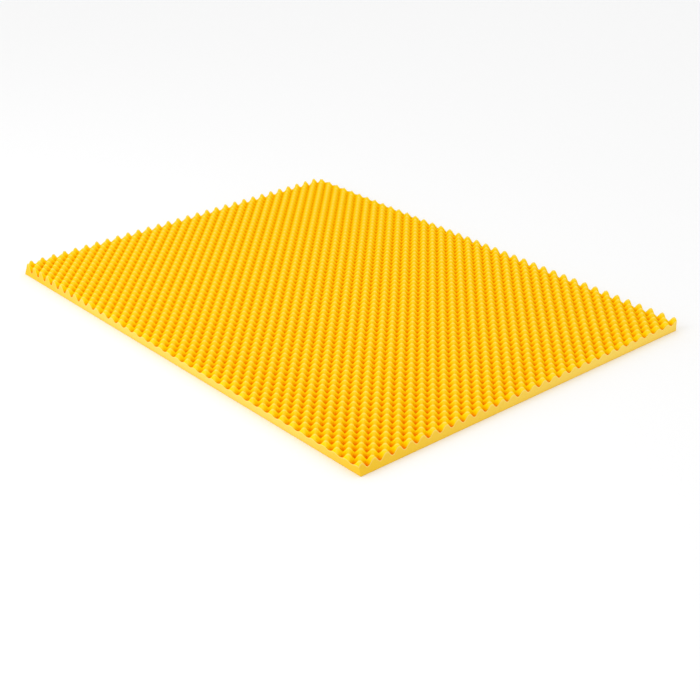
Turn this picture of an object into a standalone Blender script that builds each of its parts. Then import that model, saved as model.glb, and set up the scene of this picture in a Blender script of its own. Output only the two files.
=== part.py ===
"""Convoluted foam mattress topper: one rectangular slab of foam, flat underneath, with
staggered pegs all over its top and straight knife-cut sides.

Frame: metres, +Z up, +X along the length, origin at the middle of the flat underside.
"""

from math import ceil, cos, floor, pi

import bmesh
import bpy

# Overall size of the slab as cut
LENGTH = 2.000
WIDTH = 1.500
TIP_HEIGHT = 0.050
VALLEY_HEIGHT = 0.016

# Peg pattern: a peg every pitch in both directions, and one more in the middle of each four
PITCH_LENGTHWISE = 0.05155
PITCH_WIDTHWISE = 0.0496

# The cuts pass outside the pegs by this much, on the +X side and on the -Y side
LENGTHWISE_MARGIN = 0.0116
WIDTHWISE_MARGIN = 0.0098

# A grid line nearer to a cut than this share of a half pitch is moved to the cut
SLIVER = 0.2

# Foam finish
FOAM_COLOUR = (1.0, 0.58, 0.01, 1.0)
FOAM_ROUGHNESS = 0.95

PEG_ROW_X = LENGTH / 2 - LENGTHWISE_MARGIN
PEG_ROW_Y = -WIDTH / 2 + WIDTHWISE_MARGIN
STEP_LENGTHWISE = PITCH_LENGTHWISE / 2
STEP_WIDTHWISE = PITCH_WIDTHWISE / 2


def clear_scene():
    """Remove every object of the startup scene."""
    for obj in list(bpy.data.objects):
        bpy.data.objects.remove(obj, do_unlink=True)


def make_collection(name):
    """Return a new collection linked to the scene."""
    collection = bpy.data.collections.new(name)
    bpy.context.scene.collection.children.link(collection)
    return collection


def make_foam_material():
    """Return the matt yellow foam."""
    material = bpy.data.materials.new("yellow_foam")
    material.use_nodes = True
    shader = material.node_tree.nodes["Principled BSDF"]
    shader.inputs["Base Color"].default_value = FOAM_COLOUR
    shader.inputs["Roughness"].default_value = FOAM_ROUGHNESS
    shader.inputs["Metallic"].default_value = 0.0
    material.diffuse_color = FOAM_COLOUR
    return material


def grid_lines(peg_row, step, extent):
    """Place the lines of the peg grid along one axis.

    Lines are half a pitch apart and numbered from a row of pegs. The first and the last are
    moved to the cuts.
    """
    first = floor((-extent / 2 - peg_row) / step + SLIVER)
    last = ceil((extent / 2 - peg_row) / step - SLIVER)
    places = {number: peg_row + number * step for number in range(first, last + 1)}
    places[first] = -extent / 2
    places[last] = extent / 2
    return places


def peg_height(x, y):
    """Return the height of the top at a point.

    The product of two cosine waves is 1 at each peg and -1 at each valley, which staggers
    the pegs, and the height follows it evenly from the valleys up to the tips.
    """
    lengthwise = cos(2 * pi * (x - PEG_ROW_X) / PITCH_LENGTHWISE)
    widthwise = cos(2 * pi * (y - PEG_ROW_Y) / PITCH_WIDTHWISE)
    rise = (1 + lengthwise * widthwise) / 2
    return VALLEY_HEIGHT + (TIP_HEIGHT - VALLEY_HEIGHT) * rise


def shape_top(bm):
    """Model the pegs as triangles between the tips and the valleys.

    Tips lie where the numbers of two lines add up to an even one and valleys lie between
    them. Splitting each cell from valley to valley leaves every tip as the point of a
    four-sided peg.
    """
    columns = grid_lines(PEG_ROW_X, STEP_LENGTHWISE, LENGTH)
    rows = grid_lines(PEG_ROW_Y, STEP_WIDTHWISE, WIDTH)
    points = {
        (column, row): bm.verts.new((x, y, peg_height(x, y)))
        for column, x in columns.items()
        for row, y in rows.items()
    }
    for column in list(columns)[:-1]:
        for row in list(rows)[:-1]:
            cell = [
                points[column, row],
                points[column + 1, row],
                points[column + 1, row + 1],
                points[column, row + 1],
            ]
            if (column + row) % 2 == 0:
                cell = cell[1:] + cell[:1]
            bm.faces.new(cell[:3])
            bm.faces.new((cell[0], cell[2], cell[3]))


def close_below(bm):
    """Drop the cut sides to the flat underside and close it."""
    rim = [edge for edge in bm.edges if edge.is_boundary]
    sides = bmesh.ops.extrude_edge_only(bm, edges=rim)
    for item in sides["geom"]:
        if isinstance(item, bmesh.types.BMVert):
            item.co.z = 0.0
    bottom_rim = [edge for edge in bm.edges if edge.is_boundary]
    bmesh.ops.holes_fill(bm, edges=bottom_rim, sides=len(bottom_rim))


def make_topper(collection):
    """Build the foam slab as one closed body."""
    bm = bmesh.new()
    shape_top(bm)
    close_below(bm)
    bmesh.ops.triangulate(bm, faces=bm.faces[:])
    bmesh.ops.recalc_face_normals(bm, faces=bm.faces[:])
    mesh = bpy.data.meshes.new("topper")
    bm.to_mesh(mesh)
    bm.free()
    mesh.materials.append(make_foam_material())
    topper = bpy.data.objects.new("topper", mesh)
    collection.objects.link(topper)
    return topper


def main():
    """Build the mattress topper."""
    clear_scene()
    make_topper(make_collection("mattress topper"))


main()
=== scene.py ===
"""Looks of a convoluted foam mattress topper.

The topper is one slab of yellow open-cell foam. Its top is peg-cut: staggered round pegs over
round valleys. Its four sides are knife cuts that stray a little from straight, and its
underside is flat.
"""

import logging
from collections.abc import Mapping
from dataclasses import dataclass, field
from enum import Enum
from math import pi, radians
from typing import Any, TypeAlias

import bpy
import numpy as np
from mathutils import Matrix, Quaternion, Vector

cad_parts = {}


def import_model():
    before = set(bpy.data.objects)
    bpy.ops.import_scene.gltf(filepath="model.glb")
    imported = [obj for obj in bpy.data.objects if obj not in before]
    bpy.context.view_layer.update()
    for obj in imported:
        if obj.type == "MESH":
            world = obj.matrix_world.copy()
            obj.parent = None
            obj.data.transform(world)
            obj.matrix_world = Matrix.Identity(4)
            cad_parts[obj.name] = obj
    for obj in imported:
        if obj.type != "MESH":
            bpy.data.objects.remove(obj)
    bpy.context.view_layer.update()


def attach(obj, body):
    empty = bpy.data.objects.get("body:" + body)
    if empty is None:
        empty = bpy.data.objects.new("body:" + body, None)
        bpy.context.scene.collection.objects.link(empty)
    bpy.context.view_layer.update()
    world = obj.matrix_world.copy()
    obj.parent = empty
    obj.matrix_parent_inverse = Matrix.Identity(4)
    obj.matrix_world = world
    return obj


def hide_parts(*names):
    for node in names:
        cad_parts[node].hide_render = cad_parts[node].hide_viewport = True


LOG = logging.getLogger("mattress_topper")

# Values that the mesh carries for its materials, by name
NEAR_CUT = "near_cut"
# Share of the cut sides' painted shade, strongest at the near corner and the left end
PAINTED_END_SHADE = "painted_end_shade"

# Places of a colour Mix node's sockets, because its other data types have the same names
MIX_FIRST = 6
MIX_SECOND = 7
MIX_RESULT = 2

# A colour, and a place or a direction
Colour: TypeAlias = tuple[float, float, float]
Triple: TypeAlias = tuple[float, float, float]

# What an expression on signals takes, and what may feed a node's input
Operand: TypeAlias = "Signal | float"
Feed: TypeAlias = "Signal | bpy.types.NodeSocket | Colour | float"


class FoamFace(Enum):
    """The three kinds of surface of the slab, in the order of its material slots."""

    CONVOLUTED = 0
    KNIFE_CUT = 1
    UNDERSIDE = 2


class Blend(Enum):
    """The ways in which two colours are mixed."""

    PLAIN = "MIX"
    MULTIPLIED = "MULTIPLY"


class Signal:
    """A shader value that can be used in a Python expression.

    Each operator adds one Math node to the tree of the socket and returns its output.
    """

    def __init__(self, tree: bpy.types.NodeTree, socket: bpy.types.NodeSocket) -> None:
        """Keep the socket.

        Args:
            tree: The node tree that new Math nodes go into.
            socket: The output socket that carries the value.
        """
        self.tree = tree
        self.socket = socket

    def _math(self, operation: str, *values: Operand) -> "Signal":
        """Add one Math node.

        Args:
            operation: The node's operation.
            *values: Numbers or signals for its inputs, in order.

        Returns:
            The signal of the node's output.
        """
        node = self.tree.nodes.new("ShaderNodeMath")
        node.operation = operation
        for slot, value in zip(node.inputs, values):
            if isinstance(value, Signal):
                self.tree.links.new(value.socket, slot)
            else:
                slot.default_value = value
        return Signal(self.tree, node.outputs[0])

    def __add__(self, other: Operand) -> "Signal":
        """Return self + other."""
        return self._math("ADD", self, other)

    def __radd__(self, other: Operand) -> "Signal":
        """Return other + self."""
        return self._math("ADD", other, self)

    def __sub__(self, other: Operand) -> "Signal":
        """Return self - other."""
        return self._math("SUBTRACT", self, other)

    def __rsub__(self, other: Operand) -> "Signal":
        """Return other - self."""
        return self._math("SUBTRACT", other, self)

    def __mul__(self, other: Operand) -> "Signal":
        """Return self * other."""
        return self._math("MULTIPLY", self, other)

    def __rmul__(self, other: Operand) -> "Signal":
        """Return other * self."""
        return self._math("MULTIPLY", other, self)

    def __truediv__(self, other: Operand) -> "Signal":
        """Return self / other."""
        return self._math("DIVIDE", self, other)

    def __rtruediv__(self, other: Operand) -> "Signal":
        """Return other / self."""
        return self._math("DIVIDE", other, self)

    def __pow__(self, other: Operand) -> "Signal":
        """Return self to the power other."""
        return self._math("POWER", self, other)

    def __rpow__(self, other: Operand) -> "Signal":
        """Return other to the power self."""
        return self._math("POWER", other, self)

    def cosine(self) -> "Signal":
        """Return the cosine of the value."""
        return self._math("COSINE", self)

    def clamped(self) -> "Signal":
        """Hold the value between 0 and 1.

        Returns:
            The held value.
        """
        held = self._math("ADD", self, 0.0)
        held.socket.node.use_clamp = True
        return held


class Shader:
    """One material and the node tree that paints it."""

    def __init__(self, name: str) -> None:
        """Start a material with an empty Principled surface.

        Args:
            name: The material's name.
        """
        self.material = bpy.data.materials.new(name)
        self.material.use_nodes = True
        self.tree = self.material.node_tree
        self.surface = self.tree.nodes["Principled BSDF"]

    def node(
        self,
        kind: str,
        settings: Mapping[str, Any] | None = None,
        inputs: Mapping[str, Feed] | None = None,
    ) -> bpy.types.Node:
        """Add a node, set it up and feed it.

        Args:
            kind: The node's type, without its ShaderNode prefix.
            settings: Its properties. For a ramp, "stops" is a list of (position, colour).
            inputs: What feeds its sockets, by their names.

        Returns:
            The new node.
        """
        node = self.tree.nodes.new(f"ShaderNode{kind}")
        for name, value in (settings or {}).items():
            if name == "stops":
                self._set_stops(node.color_ramp, value)
            else:
                setattr(node, name, value)
        for name, value in (inputs or {}).items():
            self.feed(node.inputs[name], value)
        return node

    def dress(self, inputs: Mapping[str, Feed]) -> None:
        """Feed the sockets of the Principled surface, by their names."""
        for name, value in inputs.items():
            self.feed(self.surface.inputs[name], value)

    def feed(self, slot: bpy.types.NodeSocket, value: Feed) -> None:
        """Link a socket or a signal to an input, or set the input's own value.

        Args:
            slot: The input socket.
            value: A number, a colour, an output socket or a signal.
        """
        if isinstance(value, Signal):
            self.tree.links.new(value.socket, slot)
        elif isinstance(value, bpy.types.NodeSocket):
            self.tree.links.new(value, slot)
        elif slot.type == "RGBA":
            slot.default_value = opaque(value)
        else:
            slot.default_value = value

    def signal(self, socket: bpy.types.NodeSocket) -> Signal:
        """Wrap an output socket for use in expressions."""
        return Signal(self.tree, socket)

    def attribute(self, name: str) -> Signal:
        """Return one of the values that the mesh carries, by its name."""
        return self.signal(self.node("Attribute", {"attribute_name": name}).outputs["Fac"])

    def split(self, vector: bpy.types.NodeSocket) -> list[Signal]:
        """Return the X, Y and Z of a vector."""
        parts = self.node("SeparateXYZ", inputs={"Vector": vector}).outputs
        return [self.signal(part) for part in parts]

    def mix(
        self, share: Operand, first: Feed, second: Feed, blend: Blend = Blend.PLAIN
    ) -> bpy.types.NodeSocket:
        """Mix two colours.

        Args:
            share: How much of the second colour shows, from 0 to 1.
            first: The first colour.
            second: The second colour.
            blend: The way in which they are mixed.

        Returns:
            The socket of the mixed colour.
        """
        node = self.node("Mix", {"data_type": "RGBA", "blend_type": blend.value})
        self.feed(node.inputs["Factor"], share)
        self.feed(node.inputs[MIX_FIRST], first)
        self.feed(node.inputs[MIX_SECOND], second)
        return node.outputs[MIX_RESULT]

    @staticmethod
    def _set_stops(ramp: bpy.types.ColorRamp, stops: list[tuple[float, Colour]]) -> None:
        """Give a colour ramp its stops.

        A new ramp has a first and a last stop. The others start half-way between them, and
        then all are moved to their positions.

        Args:
            ramp: The ramp, as new.
            stops: Position and colour of each stop, in rising order.
        """
        for _ in stops[1:-1]:
            ramp.elements.new(0.5)
        for element, (position, colour) in zip(ramp.elements, stops):
            element.position = position
            element.color = opaque(colour)


@dataclass(frozen=True)
class PegPattern:
    """The staggered pegs of the top: a peg every pitch in both directions, and one more in
    the middle of each four.

    Attributes:
        pitch_x: Distance between pegs along the length.
        pitch_y: Distance between pegs across the width.
        row_x: Place of the last row of pegs along the length.
        row_y: Place of the first row of pegs across the width.
        valley: Height of the foam under the valleys.
        tip: Height of the foam at the tips.
        fullness: How far the tips and the valleys are broadened, from 0 to 1.
    """

    pitch_x: float = 0.05155
    pitch_y: float = 0.0496
    row_x: float = 0.9884
    row_y: float = -0.7402
    valley: float = 0.016
    tip: float = 0.050
    fullness: float = 0.5

    def height(self, x: np.ndarray, y: np.ndarray) -> np.ndarray:
        """Work out the height of the top.

        The product of two cosine waves, one along and one across, is 1 at each peg and -1 at
        each valley, so half of one plus that product rises from 0 to 1. It is mixed with its
        own smooth step, which broadens tips and valleys alike and steepens the flanks, and
        gives the share of the way from the valley height up to the tip height.

        Args:
            x: Places along the length.
            y: Places across the width.

        Returns:
            The heights, in the shape of x and y.
        """
        along = np.cos(2 * pi * (x - self.row_x) / self.pitch_x)
        across = np.cos(2 * pi * (y - self.row_y) / self.pitch_y)
        rise = (1 + along * across) / 2
        rise += self.fullness * (rise**2 * (3 - 2 * rise) - rise)
        return self.valley + (self.tip - self.valley) * rise


@dataclass(frozen=True)
class FoamFinish:
    """Matt open-cell foam dyed through, with painted shade that darkens it down into the
    valleys.

    Attributes:
        pit_shade_colour: Painted shade at the very bottom of the valleys.
        valley_shade_colour: Painted shade round the bottom of the valleys.
        saddle_colour: Colour half-way up, where the ridges are lowest.
        flank_colour: Colour on the sides of the pegs.
        tip_colour: Colour of the pegs' tips.
        valley_level: Share of the pegs' height at which the valley colour is reached.
        saddle_level: Share at which the saddle colour is reached.
        flank_level: Share at which the flank colour is reached.
        crest_highlight_colour: Painted highlight along the crisp ridges' lines low between the
            pegs.
        ridge_highlight_colour: Painted highlight along the ridges' lines at the tips.
        ridge_power: Power that keeps that colour close to the tips.
        crisp_highlight: How strongly the painted highlight along the crisp ridges shows at the
            tips.
        crisp_power: Power that narrows it.
        crisp_lean: How far it sits to one side of the crest, in radians of the wave.
        shade_strength: How much of the pit colour shows low behind the crisp ridges.
        shade_power: Power that narrows the shade.
        shade_lean: How far behind the crest the shade sits, in radians of the wave.
        soft_highlight: How strongly the painted highlight along the soft ridges, which cross the
            others, shows.
        soft_power: Power that narrows them.
        open_lift: How far up the painted shade of the valleys is lifted at the cuts, which let
            light in.
        cut_colour: Colour of a cut side at the height of the valleys.
        cut_shade: Colour of a cut side at its foot, and of the underside.
        end_shade_colour: Colour of the painted shade on the cut sides at the near corner and the
            left end.
        rim_highlight_colour: Colour of the painted highlight along a cut side's upper rim.
        rim_strength: How much of that colour shows.
        rim_power: Power that keeps it close to the rim.
        mottle_colour: What the darkest patches multiply the colour by.
        mottle_strength: How much darker the patches are.
        mottle_scale: Patches in a metre.
        mottle_detail: Finer layers in the patches.
        pore: Size of the largest pores.
        pore_weight: Depth of the pores as a share of the grain's.
        grain_scale: Grains in a metre.
        grain_detail: Finer layers in the grain.
        relief_depth: Depth of the relief.
        relief_strength: How much of that depth shows.
        roughness: Roughness all over.
        fuzz: Strength of the soft glow that open cells give at a low angle.
        fuzz_roughness: Roughness of that glow.
        fuzz_colour: Colour of that glow.
    """

    pit_shade_colour: Colour = (0.76, 0.10, 0.0)
    valley_shade_colour: Colour = (0.90, 0.225, 0.0)
    saddle_colour: Colour = (0.95, 0.545, 0.0)
    flank_colour: Colour = (0.965, 0.645, 0.0)
    tip_colour: Colour = (0.97, 0.67, 0.003)
    valley_level: float = 0.2
    saddle_level: float = 0.5
    flank_level: float = 0.7
    crest_highlight_colour: Colour = (1.0, 0.69, 0.0)
    ridge_highlight_colour: Colour = (1.0, 0.73, 0.25)
    ridge_power: float = 6.0
    crisp_highlight: float = 1.0
    crisp_power: float = 40.0
    crisp_lean: float = 0.6
    shade_strength: float = 1.15
    shade_power: float = 12.0
    shade_lean: float = 0.7
    soft_highlight: float = 0.1
    soft_power: float = 6.0
    open_lift: float = 0.18
    cut_colour: Colour = (0.94, 0.665, 0.118)
    cut_shade: Colour = (0.92, 0.60, 0.085)
    end_shade_colour: Colour = (0.885, 0.555, 0.035)
    rim_highlight_colour: Colour = (1.0, 0.78, 0.24)
    rim_strength: float = 0.7
    rim_power: float = 2.0
    mottle_colour: Colour = (0.9, 0.84, 0.7)
    mottle_strength: float = 0.3
    mottle_scale: float = 160.0
    mottle_detail: float = 4.0
    pore: float = 0.0012
    pore_weight: float = 0.6
    grain_scale: float = 700.0
    grain_detail: float = 3.0
    relief_depth: float = 0.0004
    relief_strength: float = 0.35
    roughness: float = 0.95
    fuzz: float = 0.03
    fuzz_roughness: float = 0.25
    fuzz_colour: Colour = (1.0, 0.9, 0.4)

    def material(self, face: FoamFace, pegs: PegPattern) -> bpy.types.Material:
        """Build the material of one kind of surface.

        Args:
            face: The kind of surface.
            pegs: The peg pattern, for the heights and waves that the tint follows.

        Returns:
            The material.
        """
        shader = Shader(f"yellow_foam_{face.name.lower()}")
        place = shader.node("TexCoord").outputs["Object"]
        if face is FoamFace.CONVOLUTED:
            colour = self._painted_top_shading(shader, place, pegs)
        elif face is FoamFace.KNIFE_CUT:
            colour = self._cut_side_shading(shader, place, pegs)
        else:
            colour = self.cut_shade
        shader.dress(
            {
                "Base Color": self._mottled(shader, place, colour),
                "Normal": self._pores(shader, place),
                "Roughness": self.roughness,
                "Specular IOR Level": 0.0,
                "Sheen Weight": self.fuzz,
                "Sheen Roughness": self.fuzz_roughness,
                "Sheen Tint": self.fuzz_colour,
            }
        )
        return shader.material

    def _painted_top_shading(
        self, shader: Shader, place: bpy.types.NodeSocket, pegs: PegPattern
    ) -> bpy.types.NodeSocket:
        """Paint shade and highlights into the convoluted top's colour, by height and along the
        ridges.

        The product of the pattern's two waves is half the sum of two waves that run along the
        diagonals, and the ridges that join the pegs follow the crests of those. The ridges of
        one diagonal are crisp. Their painted highlights fade down from the tips and go over from
        the ridge colour into the crest colour, with painted shade low behind them. The others
        are soft, with a fainter painted highlight. The colour darkens by height down into the
        valleys as painted shade. Towards a cut that painted shade is lifted, and the shade
        behind the ridges fades out.

        Args:
            shader: The material in the making.
            place: Object coordinates.
            pegs: The peg pattern.

        Returns:
            The socket of the colour.
        """
        x, y, height = shader.split(place)
        share = ((height - pegs.valley) / (pegs.tip - pegs.valley)).clamped()
        along = (x - pegs.row_x) * (2 * pi / pegs.pitch_x)
        across = (y - pegs.row_y) * (2 * pi / pegs.pitch_y)
        # Painted highlights along the crisp ridges, a little to one side of the crest
        crisp = self._line(along - across - self.crisp_lean, self.crisp_power)
        behind = self._line(along - across + self.shade_lean, self.shade_power)
        # Painted highlights along the soft ridges
        soft = self._line(along + across, self.soft_power)

        near_cut = shader.attribute(NEAR_CUT)
        # Painted shade: the colour darkens by height down into the valleys, and is lifted
        # towards a cut
        stops = [
            (0.0, self.pit_shade_colour),
            (self.valley_level, self.valley_shade_colour),
            (self.saddle_level, self.saddle_colour),
            (self.flank_level, self.flank_colour),
            (1.0, self.tip_colour),
        ]
        lifted = share + near_cut * self.open_lift
        body = shader.node("ValToRGB", {"stops": stops}, {"Fac": lifted}).outputs["Color"]
        # Painted shade low behind the crisp ridges, fading out towards a cut
        shade = (behind * (1 - share) * (1 - near_cut) * self.shade_strength).clamped()
        body = shader.mix(shade, body, self.pit_shade_colour)
        # Painted highlights: fainter along the soft ridges, stronger along the crisp ones at the
        # tips
        body = shader.mix(soft * self.soft_highlight, body, self.ridge_highlight_colour)
        line = shader.mix(share**self.ridge_power, self.crest_highlight_colour, self.ridge_highlight_colour)
        return shader.mix((crisp * share * self.crisp_highlight).clamped(), body, line)

    @staticmethod
    def _line(wave: Signal, power: float) -> Signal:
        """Return a line along each crest of a wave: half of one plus its cosine, to a power."""
        return ((1 + wave.cosine()) / 2) ** power

    def _cut_side_shading(
        self, shader: Shader, place: bpy.types.NodeSocket, pegs: PegPattern
    ) -> bpy.types.NodeSocket:
        """Colour a knife-cut side: darker towards its foot, with painted shade and a rim
        highlight.

        The share of the darker colour is the way down from the height of the valleys. Painted
        shade comes in by the mesh's own share of it, and then a painted highlight by a power of
        the nearness to the cut.

        Args:
            shader: The material in the making.
            place: Object coordinates.
            pegs: The peg pattern.

        Returns:
            The socket of the colour.
        """
        _, _, height = shader.split(place)
        below = (1 - height / pegs.valley).clamped()
        body = shader.mix(below, self.cut_colour, self.cut_shade)
        # Painted shade towards the near corner, along the right side and at the left end
        body = shader.mix(shader.attribute(PAINTED_END_SHADE), body, self.end_shade_colour)
        # Painted highlight along the upper rim of a cut side
        rim = shader.attribute(NEAR_CUT) ** self.rim_power * self.rim_strength
        return shader.mix(rim, body, self.rim_highlight_colour)

    def _mottled(
        self, shader: Shader, place: bpy.types.NodeSocket, colour: Feed
    ) -> bpy.types.NodeSocket:
        """Vary a colour slightly, as the dye does from cell to cell.

        The darker patches are where the noise lies above its middle, a half.

        Args:
            shader: The material in the making.
            place: Object coordinates.
            colour: The colour to vary, or the socket that carries it.

        Returns:
            The socket of the varied colour.
        """
        noise = shader.node(
            "TexNoise",
            inputs={"Vector": place, "Scale": self.mottle_scale, "Detail": self.mottle_detail},
        )
        share = (shader.signal(noise.outputs["Fac"]) - 0.5) * self.mottle_strength
        darker = shader.mix(1.0, colour, self.mottle_colour, Blend.MULTIPLIED)
        return shader.mix(share.clamped(), colour, darker)

    def _pores(self, shader: Shader, place: bpy.types.NodeSocket) -> bpy.types.NodeSocket:
        """Make the relief of open cells: the pores' own relief on top of a finer grain.

        Args:
            shader: The material in the making.
            place: Object coordinates.

        Returns:
            The socket of the bumped normal.
        """
        pores = shader.node("TexVoronoi", inputs={"Vector": place, "Scale": 1 / self.pore})
        grain = shader.node(
            "TexNoise",
            inputs={"Vector": place, "Scale": self.grain_scale, "Detail": self.grain_detail},
        )
        relief = shader.signal(pores.outputs["Distance"]) * self.pore_weight
        relief += shader.signal(grain.outputs["Fac"])
        bump = shader.node(
            "Bump",
            inputs={
                "Strength": self.relief_strength,
                "Distance": self.relief_depth,
                "Height": relief,
            },
        )
        return bump.outputs["Normal"]


@dataclass(frozen=True)
class KnifeCut:
    """How far the top of a cut side has strayed inwards from the slab's straight edge.

    Attributes:
        start: Distance inwards at the -X or -Y end, less than nothing where it is outwards.
        end: Distance inwards at the other end.
        bend: Power of the change between them, 1 for an even one.
    """

    start: float = 0.0
    end: float = 0.0
    bend: float = 1.0

    def inset(self, share: np.ndarray) -> np.ndarray:
        """Work out the distance inwards.

        The start's distance goes over into the end's with a power of the share of the side
        that is still to come.

        Args:
            share: Share of the side that lies behind, from 0 to 1.

        Returns:
            The distances, in the shape of share.
        """
        return self.end + (self.start - self.end) * (1 - share) ** self.bend


@dataclass
class FoamTopper:
    """The slab of foam, as one closed surface.

    Attributes:
        length: Size along X.
        width: Size along Y.
        pegs: The peg pattern of the top.
        finish: The foam's finish.
        facets_per_half_pitch: How finely the top is divided, in each direction.
        sliver: Least distance from a cut to a line of the grid, as a share of its step.
        side_rows: How many rows of faces each cut side has.
        front: How the cut on the -Y side has strayed.
        right: How the cut on the +X side has strayed.
        back: How the cut on the +Y side has strayed.
        left: How the cut on the -X side has strayed.
        followers: How many pitches inside a strayed cut still follow it.
        undercut: How far the knife leant in under the front side, at its foot.
        end_shade_front: How far the painted shade of the cut sides reaches along the front side
        from the near corner, where +X and -Y meet.
        end_shade_right: How far it reaches along the right side from that corner.
        end_shade_left: How far it reaches along the front and back sides from the left side.
    """

    length: float = 2.0
    width: float = 1.5
    pegs: PegPattern = field(default_factory=PegPattern)
    finish: FoamFinish = field(default_factory=FoamFinish)
    facets_per_half_pitch: int = 4
    sliver: float = 0.3
    side_rows: int = 4
    front: KnifeCut = KnifeCut(0.009, -0.0016, 5.0)
    right: KnifeCut = KnifeCut(0.0035, 0.0008)
    back: KnifeCut = KnifeCut(-0.0125, -0.0013)
    left: KnifeCut = KnifeCut(0.0075, 0.0015)
    followers: float = 2.0
    undercut: float = 0.004
    end_shade_front: float = 0.3
    end_shade_right: float = 1.1
    end_shade_left: float = 0.5

    def grid_lines(self, row: float, pitch: float, extent: float) -> np.ndarray:
        """Place the lines of the top's grid along one axis.

        The first and the last line lie on the cuts. Those between them are an even step apart
        and pass through the pegs and the valleys.

        Args:
            row: Place of one row of pegs.
            pitch: Distance between pegs.
            extent: Size of the slab along this axis.

        Returns:
            The places of the lines, in rising order.
        """
        step = pitch / 2 / self.facets_per_half_pitch
        lowest = np.ceil((-extent / 2 - row) / step + self.sliver)
        highest = np.floor((extent / 2 - row) / step - self.sliver)
        inner = row + step * np.arange(lowest, highest + 1)
        return np.concatenate([[-extent / 2], inner, [extent / 2]])

    def follow_cuts(self, x: np.ndarray, y: np.ndarray) -> tuple[np.ndarray, np.ndarray]:
        """Draw the outer lines of the grid to the four cuts.

        Each side's rim moves by its cut's inset, and the lines of the next pitches inside it
        follow, evenly less with their distance from the edge.

        Args:
            x: Places along the length, with the outermost on the straight edges.
            y: Places across the width, with the outermost on the straight edges.

        Returns:
            The new places along the length and across the width.
        """
        along, across = x / self.length + 0.5, y / self.width + 0.5
        span_x = self.followers * self.pegs.pitch_x / self.length
        span_y = self.followers * self.pegs.pitch_y / self.width
        shift_x = self.left.inset(across) * np.clip(1 - along / span_x, 0, 1)
        shift_x -= self.right.inset(across) * np.clip(1 - (1 - along) / span_x, 0, 1)
        shift_y = self.front.inset(along) * np.clip(1 - across / span_y, 0, 1)
        shift_y -= self.back.inset(along) * np.clip(1 - (1 - across) / span_y, 0, 1)
        return x + shift_x, y + shift_y

    def nearness(self, x: np.ndarray, y: np.ndarray) -> np.ndarray:
        """Work out how near the points of the top's grid are to a cut.

        It is 1 on the outermost lines and falls evenly to 0 over half a pitch.

        Args:
            x: Places of the grid's lines along the length.
            y: Places of its lines across the width.

        Returns:
            The nearness of each point, with a row for each place in x.
        """
        near_x = 1 - (self.length / 2 - np.abs(x)) / (self.pegs.pitch_x / 2)
        near_y = 1 - (self.width / 2 - np.abs(y)) / (self.pegs.pitch_y / 2)
        return np.clip(np.maximum(near_x[:, None], near_y[None, :]), 0, 1)

    def end_shade_share(self, points: np.ndarray) -> np.ndarray:
        """Work out where the cut sides get painted shade.

        It is strongest at the near corner and along the left side. Its share falls evenly from
        1 there to 0 at its reach along the sides that start there.

        Args:
            points: All vertices.

        Returns:
            The share of the painted shade at each vertex, from 0 to 1.
        """
        from_right = self.length / 2 - points[:, 0]
        from_front = self.width / 2 + points[:, 1]
        from_left = self.length / 2 + points[:, 0]
        corner = 1 - from_right / self.end_shade_front - from_front / self.end_shade_right
        return np.clip(np.maximum(corner, 1 - from_left / self.end_shade_left), 0, 1)

    def feet(self, rim: np.ndarray, columns: int, rows: int) -> np.ndarray:
        """Place the lower edge of the sides.

        Each point lies straight under its point of the rim, but on the front side it is drawn
        to the line of the undercut, and on the right side to the slab's straight edge.

        Args:
            rim: The rim's points, from the left end of the front side and first along that.
            columns: How many of them the front side has, with both its ends.
            rows: How many the right side has, with both its ends.

        Returns:
            The points of the lower edge, in the order of the rim.
        """
        foot = rim.copy()
        foot[:, 2] = 0.0
        foot[:columns, 1] = self.undercut - self.width / 2
        foot[columns - 1 : columns - 1 + rows, 0] = self.length / 2
        return foot

    def build(self) -> bpy.types.Object:
        """Build the slab.

        The top is a height field on a grid. From its rim each side goes down to its foot in
        even rows, each an even share further on a straight line, and the underside is one
        face inside the lowest row. Below the rim nothing counts as near to a cut, so the
        painted highlight along the rim fades out over the first row.

        Returns:
            The finished object.
        """
        x = self.grid_lines(self.pegs.row_x, self.pegs.pitch_x, self.length)
        y = self.grid_lines(self.pegs.row_y, self.pegs.pitch_y, self.width)
        along, across = self.follow_cuts(*np.meshgrid(x, y, indexing="ij"))
        height = self.pegs.height(along, across)
        top = np.column_stack([along.ravel(), across.ravel(), height.ravel()])
        index = np.arange(len(top)).reshape(along.shape)

        edge = np.concatenate([index[:-1, 0], index[-1, :-1], index[:0:-1, -1], index[0, :0:-1]])
        rim = top[edge]
        share = np.arange(1, self.side_rows + 1)[:, None, None] / self.side_rows
        lower = rim + share * (self.feet(rim, len(x), len(y)) - rim)
        points = np.concatenate([top, *lower])
        rings = np.vstack([edge, np.arange(len(top), len(points)).reshape(self.side_rows, -1)])
        closed = np.column_stack([rings, rings[:, 0]])

        topper = self._object(points, cells(index), cells(closed), rings[-1][::-1])
        near_cut = np.zeros(len(points))
        near_cut[: len(top)] = self.nearness(x, y).ravel()
        # Nearness to a cut, and the share of the cut sides' painted shade, for the materials
        for name, values in ((NEAR_CUT, near_cut), (PAINTED_END_SHADE, self.end_shade_share(points))):
            attribute = topper.data.attributes.new(name, "FLOAT", "POINT")
            attribute.data.foreach_set("value", values.astype(np.float32))
        return topper

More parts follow.
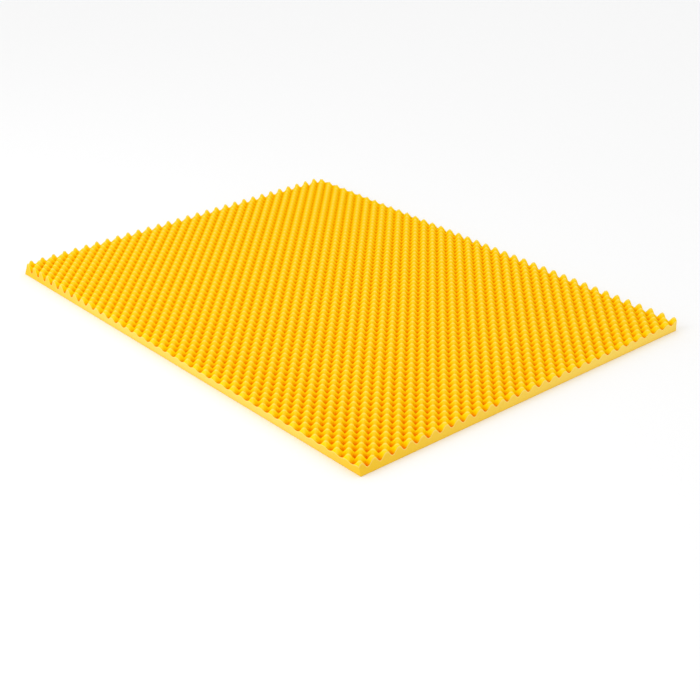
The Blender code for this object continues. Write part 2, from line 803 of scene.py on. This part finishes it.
    def _object(
        self, points: np.ndarray, quads: np.ndarray, sides: np.ndarray, base: np.ndarray
    ) -> bpy.types.Object:
        """Put the slab's faces into a mesh and dress it.

        Args:
            points: All vertices.
            quads: Corners of the top's faces.
            sides: Corners of the sides' faces.
            base: Corners of the underside.

        Returns:
            The object.
        """
        corners = np.concatenate([quads.ravel(), sides.ravel(), base])
        faces = len(quads) + len(sides) + 1
        mesh = bpy.data.meshes.new("foam_topper")
        mesh.vertices.add(len(points))
        mesh.vertices.foreach_set("co", points.ravel().astype(np.float32))
        mesh.loops.add(len(corners))
        mesh.loops.foreach_set("vertex_index", corners.astype(np.int32))
        mesh.polygons.add(faces)
        starts = np.arange(faces) * quads.shape[1]
        mesh.polygons.foreach_set("loop_start", starts.astype(np.int32))
        slots = np.repeat([face.value for face in FoamFace], [len(quads), len(sides), 1])
        mesh.polygons.foreach_set("material_index", slots.astype(np.int32))
        mesh.polygons.foreach_set("use_smooth", slots == FoamFace.CONVOLUTED.value)
        for face in FoamFace:
            mesh.materials.append(self.finish.material(face, self.pegs))
        mesh.update(calc_edges=True)
        mesh.validate()
        return put_in_scene("foam_topper", mesh)


@dataclass(frozen=True)
class StudioFloor:
    """A plain pale floor, larger than the view.

    Attributes:
        half_side: Half the side of the square.
        height: Height of its surface.
        colour: Its colour.
        roughness: Its roughness.
        gloss: Strength of its reflections.
    """

    half_side: float = 30.0
    height: float = -0.0005
    colour: Colour = (0.92, 0.92, 0.92)
    roughness: float = 0.9
    gloss: float = 0.1

    def build(self) -> bpy.types.Object:
        """Build the floor as one square face.

        Returns:
            The floor.
        """
        span = np.array([[-1, -1], [1, -1], [1, 1], [-1, 1]]) * self.half_side
        points = np.column_stack([span, np.full(len(span), self.height)])
        mesh = bpy.data.meshes.new("studio_floor")
        mesh.from_pydata(points.tolist(), [], [range(len(span))])
        shader = Shader("pale_floor")
        shader.dress(
            {
                "Base Color": self.colour,
                "Roughness": self.roughness,
                "Specular IOR Level": self.gloss,
            }
        )
        mesh.materials.append(shader.material)
        return put_in_scene("studio_floor", mesh)


@dataclass(frozen=True)
class SoftBox:
    """One soft studio lamp.

    Attributes:
        name: The lamp's name.
        place: Where it hangs.
        aim: The point that it faces.
        side: Side of its square panel.
        power: Its power in watts.
    """

    name: str
    place: Triple
    aim: Triple
    side: float
    power: float

    def build(self) -> bpy.types.Object:
        """Hang the lamp and turn it to its aim.

        Returns:
            The lamp.
        """
        light = bpy.data.lights.new(self.name, "AREA")
        light.size = self.side
        light.energy = self.power
        lamp = put_in_scene(self.name, light)
        lamp.location = self.place
        towards = Vector(self.aim) - Vector(self.place)
        lamp.rotation_euler = towards.to_track_quat("-Z", "Y").to_euler()
        return lamp


@dataclass(frozen=True)
class ViewPoint:
    """The camera.

    Attributes:
        place: Where it stands.
        forward: The direction that it looks in.
        roll: Turn about that direction, in degrees.
        lens: Focal length, in millimetres.
        sensor: Width of the sensor, in millimetres.
    """

    place: Triple = (3.5686, -3.0033, 2.1231)
    forward: Triple = (-0.67730, 0.58454, -0.44674)
    roll: float = 0.203
    lens: float = 70.32
    sensor: float = 36.0

    def build(self) -> bpy.types.Object:
        """Set up the camera and make it the scene's own.

        Returns:
            The camera.
        """
        camera = bpy.data.cameras.new("studio_camera")
        camera.lens = self.lens
        camera.sensor_width = self.sensor
        stand = put_in_scene("studio_camera", camera)
        look = Vector(self.forward).to_track_quat("-Z", "Y")
        turn = Quaternion(Vector(self.forward).normalized(), radians(self.roll))
        stand.matrix_world = Matrix.Translation(self.place) @ (turn @ look).to_matrix().to_4x4()
        bpy.context.scene.camera = stand
        return stand


@dataclass(frozen=True)
class Studio:
    """The room: floor, lamps, soft surrounding light and camera.

    Attributes:
        floor: The floor.
        lamps: The soft lamps.
        surround: Strength of the light from all round.
        surround_colour: Colour of that light.
        camera: The camera.
    """

    floor: StudioFloor = field(default_factory=StudioFloor)
    lamps: tuple[SoftBox, ...] = (
        SoftBox("key_softbox", (-0.5, -4.0, 3.0), (0.0, 0.0, 0.0), 2.4, 50.0),
    )
    surround: float = 1.0
    surround_colour: Colour = (1.0, 1.0, 1.0)
    camera: ViewPoint = field(default_factory=ViewPoint)

    def build(self) -> None:
        """Build the room round the topper."""
        self.floor.build()
        for lamp in self.lamps:
            lamp.build()
        self.camera.build()
        world = bpy.data.worlds.new("white_surround")
        world.use_nodes = True
        sky = world.node_tree.nodes["Background"]
        sky.inputs["Color"].default_value = opaque(self.surround_colour)
        sky.inputs["Strength"].default_value = self.surround
        bpy.context.scene.world = world
        bpy.context.scene.view_settings.view_transform = "Standard"


def opaque(colour: Colour) -> tuple[float, float, float, float]:
    """Add full opacity to a colour."""
    return (*colour, 1.0)


def cells(index: np.ndarray) -> np.ndarray:
    """List the four corners of each cell of a grid of vertex numbers.

    Args:
        index: The vertex numbers, in two dimensions.

    Returns:
        Four vertex numbers for each cell, in order round it.
    """
    corners = [index[:-1, :-1], index[1:, :-1], index[1:, 1:], index[:-1, 1:]]
    return np.stack(corners, axis=-1).reshape(-1, len(corners))


def put_in_scene(name: str, data: bpy.types.ID) -> bpy.types.Object:
    """Put a mesh, a light or a camera into the scene.

    Args:
        name: The new object's name.
        data: The mesh, light or camera.

    Returns:
        The new object, at the origin.
    """
    item = bpy.data.objects.new(name, data)
    bpy.context.scene.collection.objects.link(item)
    return item


def main() -> None:
    """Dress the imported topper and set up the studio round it."""
    logging.basicConfig(level=logging.INFO, format="%(name)s: %(message)s")
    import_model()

    topper = FoamTopper().build()
    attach(topper, "root")
    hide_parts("topper")
    LOG.info("%s: %d faces", topper.name, len(topper.data.polygons))

    Studio().build()
    LOG.info("studio: floor, lamps and camera are up")


if __name__ == "__main__":
    main()
